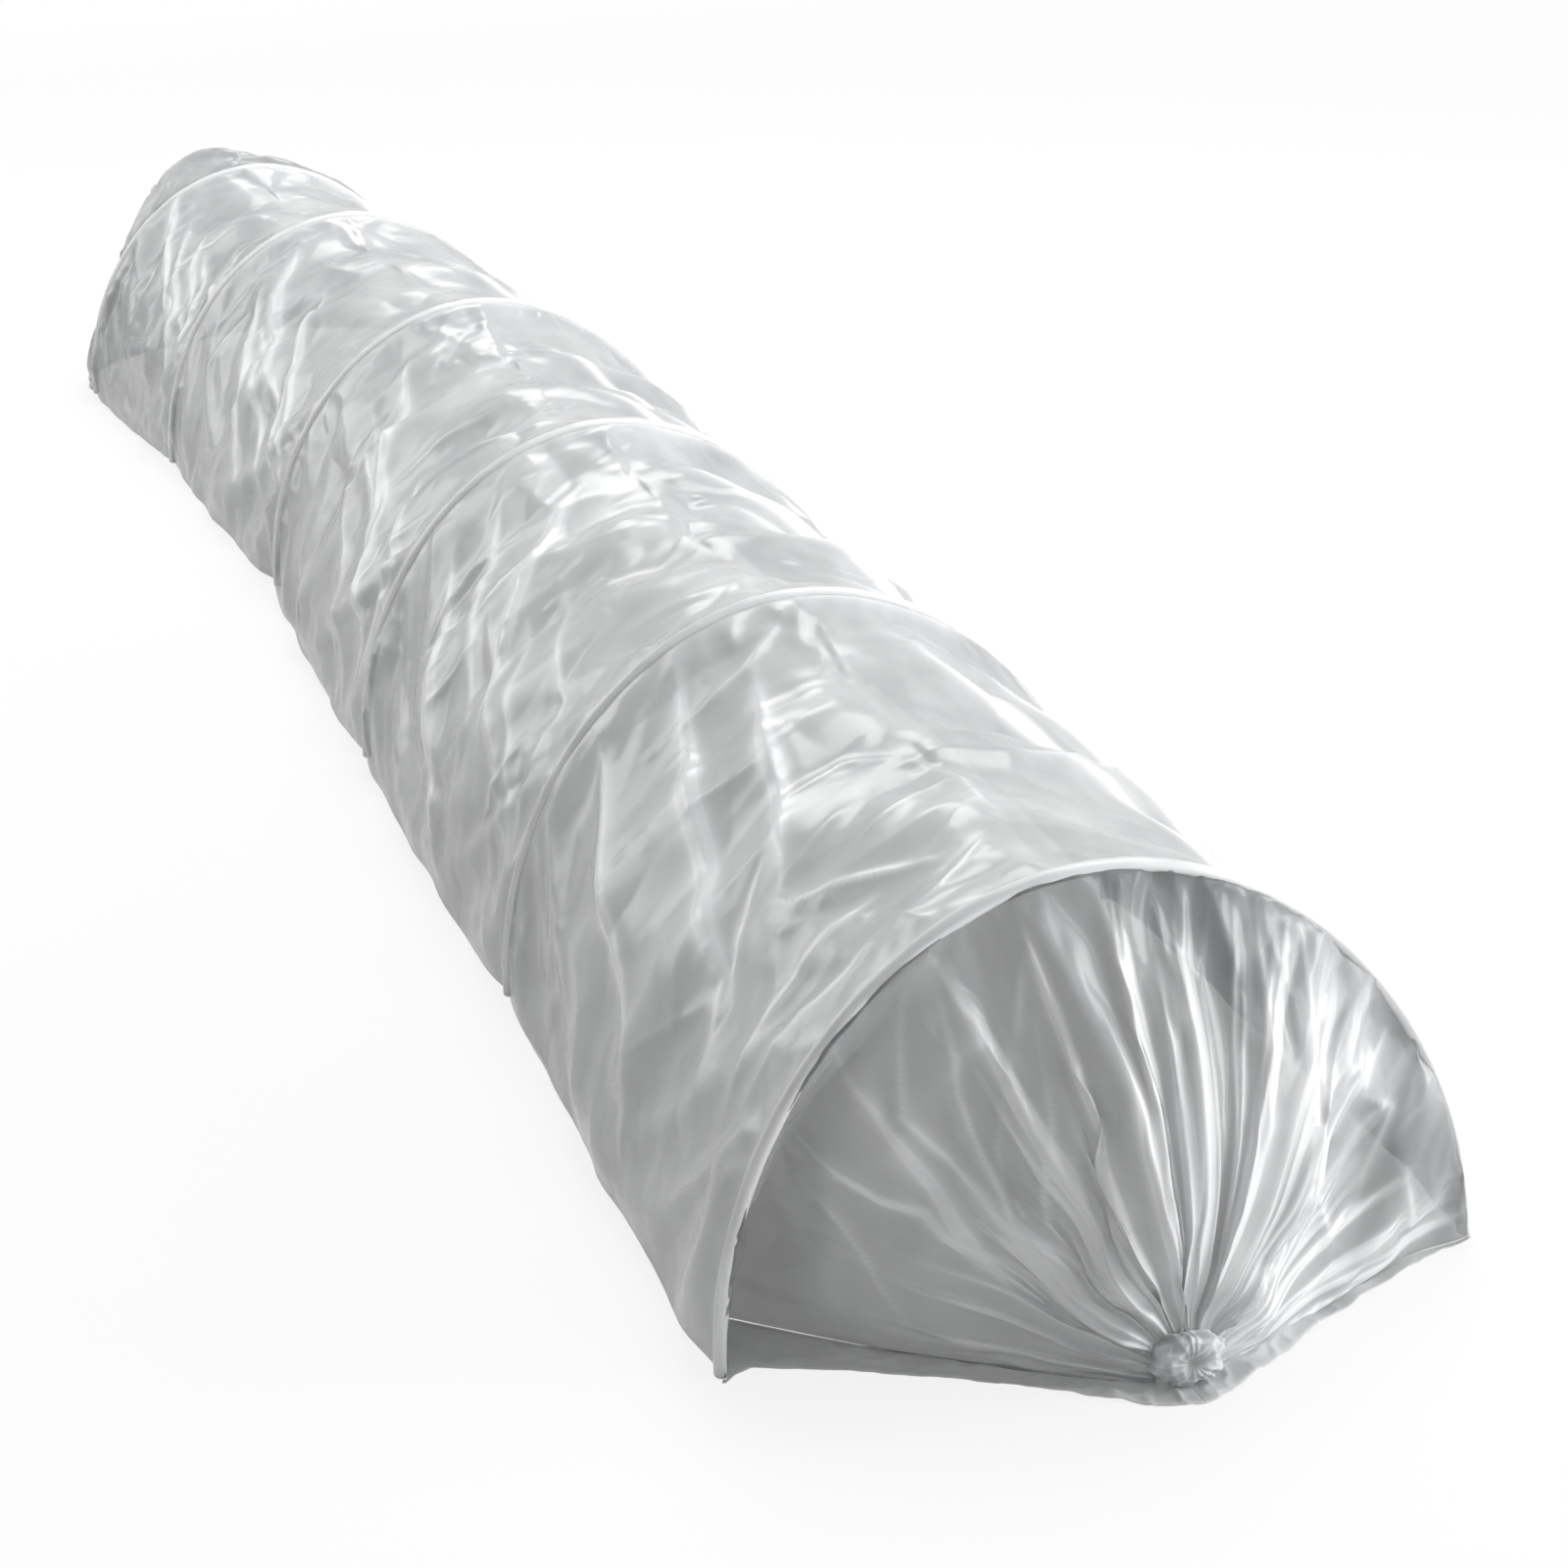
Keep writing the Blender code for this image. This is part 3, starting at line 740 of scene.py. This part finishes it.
def crease_end(film, name, k, turned):
    """Adds pleats, folds and facets to an end's settled film, and marks its milkiness and painted light."""
    place, normal, cut = read_points(film)
    share = cut[:, 1] / END_CUT[name]
    s = cut[:, 0] / ARCH_LENGTH
    feet = np.clip(6 * np.minimum(s, 1 - s), 0.0, 1.0)
    pick = np.random.default_rng(7 if turned else 5)
    out = np.zeros(len(cut))
    crest = np.zeros(len(cut))
    doubled = np.zeros(len(cut))
    for i in range(FINE_PLEATS):
        middle = (i + pick.uniform(0.1, 0.9)) / FINE_PLEATS
        start = pick.uniform(0.0, 0.65) ** 1.2 if not turned else pick.uniform(0.35, 0.6)
        lean = pick.uniform(-0.03, 0.03)
        width = pick.uniform(0.004, 0.010)
        height = pick.uniform(0.0012, 0.0040)
        off = s - middle - lean * share
        fade = np.clip((share - start) / 0.25, 0.0, 1.0) * np.clip((1 - share) / 0.06, 0.0, 1.0)
        if not turned and middle < 0.34:
            # the low left side hangs in a few wide folds, which narrow to pleats only beside the neck
            fade *= 0.25 + 0.75 * np.clip((share - 0.55) / 0.35, 0.0, 1.0)
        fold = height * (0.75 + 2.4 * share**2) * fade * np.exp(-np.abs(off) / width)
        out += fold
        crest = np.maximum(crest, fold / PLEAT_CREST)
        # beside its crest the pleat lies double
        band = pick.uniform(0.006, 0.020)
        inside = np.clip(off / 0.003, 0, 1) * np.clip((band - off) / 0.003, 0, 1)
        doubled = np.maximum(doubled, inside * fade * pick.uniform(0.2, 0.9))
    loose = np.clip((1 - share) / 0.4, 0.0, 1.0)
    if not turned:
        front_view = place[:, [0, 2]] - (hoop_place[k].x, 0.0)
        for width, height, route in FRONT_FOLDS:
            fold = FRONT_FOLD_SHARE * crease(front_view, route, width, height)
            fold = fold * np.clip((1 - share) / 0.10, 0.0, 1.0)
            out += fold
            crest = np.maximum(crest, fold / PLEAT_CREST)
        # the right side is crumpled in small facets as well as the large ones of the whole end
        crumpled = np.clip((front_view[:, 0] - CRUMPLED_FROM) / 0.05, 0.0, 1.0)
        out += facets(front_view, *END_FACETS) * loose
        out += facets(front_view, *CRUMPLED_FACETS) * loose * crumpled
    else:
        out += facets(cut, *END_FACETS) * loose
    out *= feet * np.clip(share / 0.05, 0.0, 1.0)
    push_out(film, place, normal, out)
    # whitest where the pleats lie double and beside the neck, with painted highlights on their crests
    # painted light whitens the upper part of the front's crumpled right side
    base_and_lit_side = 0.30 if turned else 0.06 + 0.35 * crumpled * np.clip((place[:, 2] - 0.05) / 0.08, 0.0, 1.0)
    set_milky_and_painted_light(film, base_and_lit_side + 0.45 * doubled + 0.60 * np.clip(crest, 0, 1.1) ** 2 + 0.30 * share**2)


for name, k, values, turned in ENDS:
    shape = placed(end_shape(**values), k, turned)
    crowding = END_CROWDING[name]
    film = film_grid(
        f"{name}_end", END_AROUND, END_ALONG[name], END_CUT[name], lambda u, t: shape(u, t**crowding)
    )
    film.data.flip_normals()
    # the hoop, the neck and both feet hold the film
    row = END_AROUND + 1
    last = len(film.data.vertices) - row
    held = [i < row or i >= last or i % row in (0, row - 1) for i in range(len(film.data.vertices))]
    settle_within(film, held, END_SLACK, END_WEIGHT, END_REACH)
    crease_end(film, name, k, turned)
    finish_film(film)
    film.data.materials.append(clear_film)
    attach(film, hoop_body[k])
    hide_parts(f"{name}_end_film")

# Bunches: where the film of each end is drawn tight, its folds puff out in front of the neck.
# A puckered ring of doubled, milky film, with a small mouth in its middle that painted shade darkens.
BUNCH_FOLDS = 15
BUNCH_ROUND = 170
BUNCH_RINGS = 44
MOUTH_AT = (-0.08, 0.10)
MOUTH_DEPTH = 0.40
MOUTH_RADIUS = 0.34
# the ball that the bunch is made from is cut off flat behind, this share of its radius from its middle
CUT_OFF = 0.35
PUFF_SHARE = 0.88
UNDERSIDE = 0.0009
bunched_film = film_material(
    "bunched_film", dark=(0.42, 0.43, 0.44), light=(0.70, 0.71, 0.72), thin=0.75, thick=0.95, roughness=0.45
)
for name, body, turn in (("front", "front_frame", 1.0), ("rear", "rear_frame", -1.0)):
    low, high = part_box(f"{name}_gather")
    bpy.ops.object.select_all(action="DESELECT")
    bpy.ops.mesh.primitive_uv_sphere_add(segments=BUNCH_ROUND, ring_count=BUNCH_RINGS, radius=1)
    bunch = bpy.context.object
    bunch.name = f"{name}_bunch"
    middle = (low + high) / 2
    half = (high - low) / 2
    back = high.y if turn > 0 else low.y
    milky_and_painted_light = []
    for vertex in bunch.data.vertices:
        x, y, forward = vertex.co
        radius = math.hypot(x, y)
        angle = math.atan2(y, x)
        at = Vector((x, y, forward)) + Vector((3 * turn, 0, 0))
        crumple = noise.noise(at * 1.7)
        # folds from the mouth outwards, some closer together and some deeper than others
        spread = angle + 0.30 * noise.noise(Vector((1.5 * math.cos(angle), 1.5 * math.sin(angle), 8.0)))
        fold = 1 - abs(math.sin(BUNCH_FOLDS * spread / 2 + 1.8 * crumple)) ** 0.8
        deep = 0.55 + 0.6 * noise.noise(Vector((2.2 * math.cos(angle), 2.2 * math.sin(angle), 4.0)))
        lumps = max(1.0 - 2.4 * abs(noise.noise(at * 2.2)), 0.0) ** 1.5
        ripple = 1.0 + 0.15 * fold * deep * radius + 0.14 * crumple + 0.03 * lumps
        from_mouth = math.hypot(x - MOUTH_AT[0], y - MOUTH_AT[1])
        mouth = MOUTH_DEPTH * math.exp(-((from_mouth / MOUTH_RADIUS) ** 2)) if forward > 0 else 0.0
        reach = (max(forward, -CUT_OFF) - mouth + CUT_OFF) / (1 + CUT_OFF) * PUFF_SHARE
        reach += (0.13 * fold * deep * radius + 0.05 * lumps) * max(forward, 0.0) ** 0.5
        side = middle.x + half.x * ripple * x
        up = middle.z + half.z * min(ripple, 1.12) * y
        vertex.co = Vector((side, back - turn * 2 * half.y * max(reach, 0.0), max(up, UNDERSIDE)))
        # painted shade: the film is darker in the mouth, where shade falls into the opening
        milky_and_painted_light.append(0.15 + 0.45 * fold * deep + 0.5 * lumps - 0.5 * mouth)
    set_milky_and_painted_light(bunch, milky_and_painted_light)
    bunch = finish_mesh(bunch, Vector())
    bunch.data.materials.append(bunched_film)
    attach(bunch, body)
    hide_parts(f"{name}_gather")

# Aprons: the loose film beside each bunch, which lies on the ground outside the foot of the end wall.
# It is slack of the same sheet, crumpled and milky where it is doubled, and drawn together under the bunch.
UNDERLAP = 0.014
UNDER_BUNCH = 0.22
SKIRT = 0.027
LEAST_WIDTH = 0.004
FOOT_STEP = 0.005
HEM_WAVE = 0.0040
HEM_TATTER = 0.0012
CREST_SHARPNESS = 3.0
OFF_FLOOR = 0.0003
# how far the hem lies outside the line from hoop to neck: (near the hoop, at the bunch), left and right
HEM_REACH = {"front": ((-0.014, 0.024), (0.0, 0.019)), "rear": ((0.002, 0.030), (0.002, 0.030))}


def crests(at, scale):
    """Crumple of crossing crest lines, 1 on a crest and falling to 0 beside it."""
    return max(1.0 - CREST_SHARPNESS * abs(noise.noise(at * scale)), 0.0) ** 2


def apron_shape(wall, straight, values, right, hem):
    """Film from under the foot of the end wall out to its hem, and on round to the middle of the bunch."""
    foot = 1.0 if right else 0.0
    turn = -1.0 if right else 1.0
    neck = Vector((values["neck_x"], -values["depth"]))

    def shape(u, t):
        s = (1 + UNDER_BUNCH) * (1 - u if right else u)
        under = max(s - 1.0, 0.0) / UNDER_BUNCH
        s = min(s, 1.0)
        inner = Vector(wall(foot, s)[:2])
        line = Vector(straight(foot, s)[:2])
        before = max(s - FOOT_STEP, 0.0)
        run = Vector(straight(foot, before + FOOT_STEP)[:2]) - Vector(straight(foot, before)[:2])
        out = Vector((turn * run.y, -turn * run.x)).normalized()
        reach = hem[0] * min(1.0, s / 0.06) + (hem[1] - hem[0]) * s**2
        reach = max(reach, LEAST_WIDTH - (line - inner).dot(out))
        # under the bunch the hem turns to run straight across, where the other side's begins
        out = out.lerp(Vector((0.0, -1.0)), under).normalized()
        reach += (SKIRT - reach) * under
        inner = inner.lerp(neck, under) - out * UNDERLAP * s**3
        line = line.lerp(neck, under)
        outer = line + out * reach
        at = Vector((*outer, 0.5))
        outer += out * (HEM_WAVE * noise.noise(at * 24) + HEM_TATTER * noise.noise(at * 90))
        x, y = outer * (1 - t) + inner * t
        # large and small crumples, which stand higher towards the bunch and run out at both edges
        at = Vector((x, y, 0.5))
        lift = (0.0010 + 0.0024 * s**2) * crests(at, 22)
        lift += (0.0004 + 0.0012 * s**2) * crests(at, 60)
        return x, y, OFF_FLOOR + lift * min(1.0, 5 * (1 - t) + 0.15) * min(1.0, 4 * t + 0.4)

    return shape


for name, k, values, turned in ENDS:
    wall = end_shape(**values)
    straight = end_shape(**{**values, "slack": (0.0, 0.0)})
    for side, right in (("left", False), ("right", True)):
        shape = placed(apron_shape(wall, straight, values, right, HEM_REACH[name][right]), k, turned)
        bpy.ops.object.select_all(action="DESELECT")
        bpy.ops.mesh.primitive_grid_add(x_subdivisions=150, y_subdivisions=20, size=1)
        apron = bpy.context.object
        apron.name = f"{name}_loose_film_{side}"
        milky_and_painted_light = []
        for vertex in apron.data.vertices:
            u = vertex.co.x + 0.5
            t = vertex.co.y + 0.5
            vertex.co = shape(u, t)
            # milkiest along the hem, where it is folded under; its crumple crests get painted highlights
            folded = max(1 - 8 * t, 0.0)
            # painted light: a high base value lightens the whole apron, which lies in the tunnel's shadow
            milky_and_painted_light.append(0.40 + 0.4 * noise.noise(vertex.co * 26) + 0.45 * folded + 70 * vertex.co.z)
        set_milky_and_painted_light(apron, milky_and_painted_light)
        apron.data.shade_smooth()
        thicken(apron, offset=0)
        apron.data.materials.append(clear_film)
        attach(apron, hoop_body[k])
        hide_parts(f"{name}_apron_{side}")
        low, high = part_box(f"{name}_apron_{side}")

# Floor and light: a white floor that keeps the object's shadow, under a white sky.
# The light is soft and strongest from above, behind and the right, which leaves the left side greyer.
FLOOR_SIZE = 60
FLOOR_DROP = 0.0002
SHADED_MIDDLE = (-0.05, 1.4, 0.0)
SHADED_RANGE = (2.2, 5.5)
SHADED_WHITE = 0.84
SKY_LIGHT = 0.26
FRONT_TARGET = (-0.05, 0.9, 0.1)
REAR_TARGET = (-0.15, 3.0, 0.15)
# name, place, power, size and target of each lamp
LAMPS = (
    ("sky_panel", (1.0, 2.4, 3.6), 135, 2.4, FRONT_TARGET),
    ("near_panel", (1.5, -2.0, 1.7), 8, 0.5, FRONT_TARGET),
    ("side_panel", (2.7, -0.7, 1.1), 82, 1.6, FRONT_TARGET),
    ("ridge_panel", (0.5, 5.4, 2.4), 20, 1.2, FRONT_TARGET),
    ("rear_panel", (-2.6, 5.4, 2.0), 58, 2.6, REAR_TARGET),
)
bpy.ops.object.select_all(action="DESELECT")
bpy.ops.mesh.primitive_plane_add(size=FLOOR_SIZE)
floor = bpy.context.object
floor.name = "floor"
for vertex in floor.data.vertices:
    vertex.co.z = -FLOOR_DROP
white = new_material("floor_white", (0.86, 0.86, 0.86), 0.9)
grain = cloudy(white, scale=3, detail=2)
between(white, grain, 0.85, 0.87, "Base Color")
white_nodes = white.node_tree.nodes
white_links = white.node_tree.links


def seen(nodes, links):
    """1 for what the camera sees, itself or by way of a reflection or through something clear."""
    rays = nodes.new("ShaderNodeLightPath")
    first = nodes.new("ShaderNodeMath")
    first.operation = "MAXIMUM"
    second = nodes.new("ShaderNodeMath")
    second.operation = "MAXIMUM"
    links.new(rays.outputs["Is Camera Ray"], first.inputs[0])
    links.new(rays.outputs["Is Glossy Ray"], first.inputs[1])
    links.new(first.outputs["Value"], second.inputs[0])
    links.new(rays.outputs["Is Transmission Ray"], second.inputs[1])
    return second.outputs["Value"]


# the floor is plain white away from the object, and near it keeps the object's shadow
white_place = white_nodes.new("ShaderNodeTexCoord")
away = white_nodes.new("ShaderNodeVectorMath")
away.operation = "DISTANCE"
away.inputs[1].default_value = SHADED_MIDDLE
open_floor = white_nodes.new("ShaderNodeMapRange")
open_floor.inputs["From Min"].default_value = SHADED_RANGE[0]
open_floor.inputs["From Max"].default_value = SHADED_RANGE[1]
open_floor.inputs["To Min"].default_value = SHADED_WHITE
open_floor.inputs["To Max"].default_value = 1.0
share = white_nodes.new("ShaderNodeMath")
share.operation = "MULTIPLY"
glow = white_nodes.new("ShaderNodeEmission")
glow.inputs["Strength"].default_value = 1.0
both = white_nodes.new("ShaderNodeMixShader")
white_links.new(white_place.outputs["Object"], away.inputs[0])
white_links.new(away.outputs["Value"], open_floor.inputs["Value"])
white_links.new(seen(white_nodes, white_links), share.inputs[0])
white_links.new(open_floor.outputs["Result"], share.inputs[1])
white_links.new(share.outputs["Value"], both.inputs["Fac"])
white_links.new(white_nodes["Principled BSDF"].outputs["BSDF"], both.inputs[1])
white_links.new(glow.outputs["Emission"], both.inputs[2])
white_links.new(both.outputs["Shader"], white_nodes["Material Output"].inputs["Surface"])
floor.data.materials.append(white)

for name, place, power, size, target in LAMPS:
    bpy.ops.object.light_add(type="AREA", location=place)
    lamp = bpy.context.object
    lamp.name = name
    lamp.data.energy = power
    lamp.data.size = size
    lamp.rotation_euler = (Vector(target) - Vector(place)).to_track_quat("-Z", "Y").to_euler()

# the sky is seen as plain white, but lights the object only weakly
world = bpy.data.worlds.new("daylight")
bpy.context.scene.world = world
world.use_nodes = True
world_nodes = world.node_tree.nodes
world_links = world.node_tree.links
background = world_nodes["Background"]
background.inputs["Color"].default_value = (1, 1, 1, 1)
background.inputs["Strength"].default_value = SKY_LIGHT
backdrop = world_nodes.new("ShaderNodeBackground")
backdrop.inputs["Color"].default_value = (1, 1, 1, 1)
backdrop.inputs["Strength"].default_value = 1.0
shown = world_nodes.new("ShaderNodeMixShader")
world_links.new(seen(world_nodes, world_links), shown.inputs["Fac"])
world_links.new(background.outputs["Background"], shown.inputs[1])
world_links.new(backdrop.outputs["Background"], shown.inputs[2])
world_links.new(shown.outputs["Shader"], world_nodes["World Output"].inputs["Surface"])
bpy.context.scene.view_settings.view_transform = "Standard"
